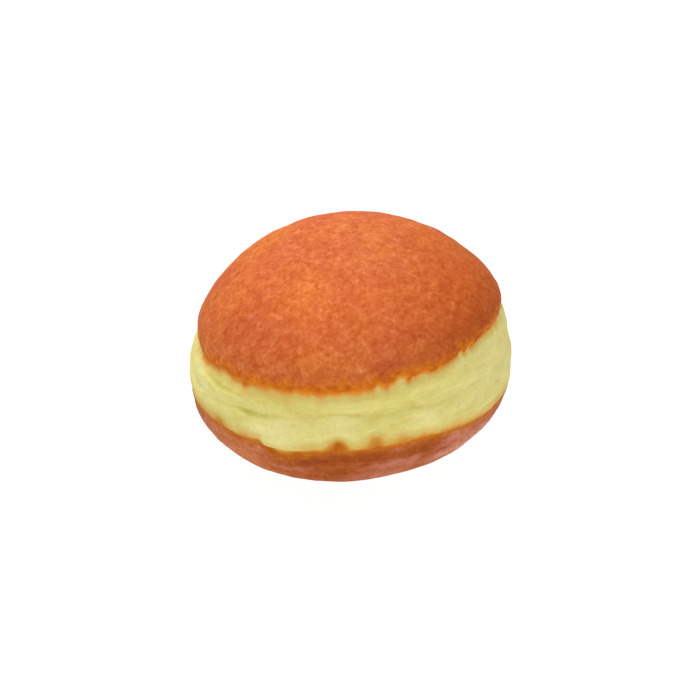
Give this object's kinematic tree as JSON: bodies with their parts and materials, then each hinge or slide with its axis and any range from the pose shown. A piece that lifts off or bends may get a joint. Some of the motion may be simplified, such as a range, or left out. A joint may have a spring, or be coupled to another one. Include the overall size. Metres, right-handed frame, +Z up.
{
  "type": "berliner doughnut",
  "caption": "Round fried yeast doughnut without a hole: browned domed cap, pale soft collar round the middle and a thin browned base with a flat spot to rest on.",
  "frame": {"origin": "on the resting surface, under the middle of the doughnut's outline", "axes": "+Z up through the crown, -Y towards the front that the picture shows, +X to the viewer's right"},
  "size_m": [0.0874, 0.0858, 0.0586],
  "materials": {
    "fried_dough": "dry fried crust with a fine orange-peel grain, matt to softly satin, pale and smoother round the collar"
  },
  "bodies": {
    "root": {"doughnut": "fried_dough"}
  },
  "joints": []
}
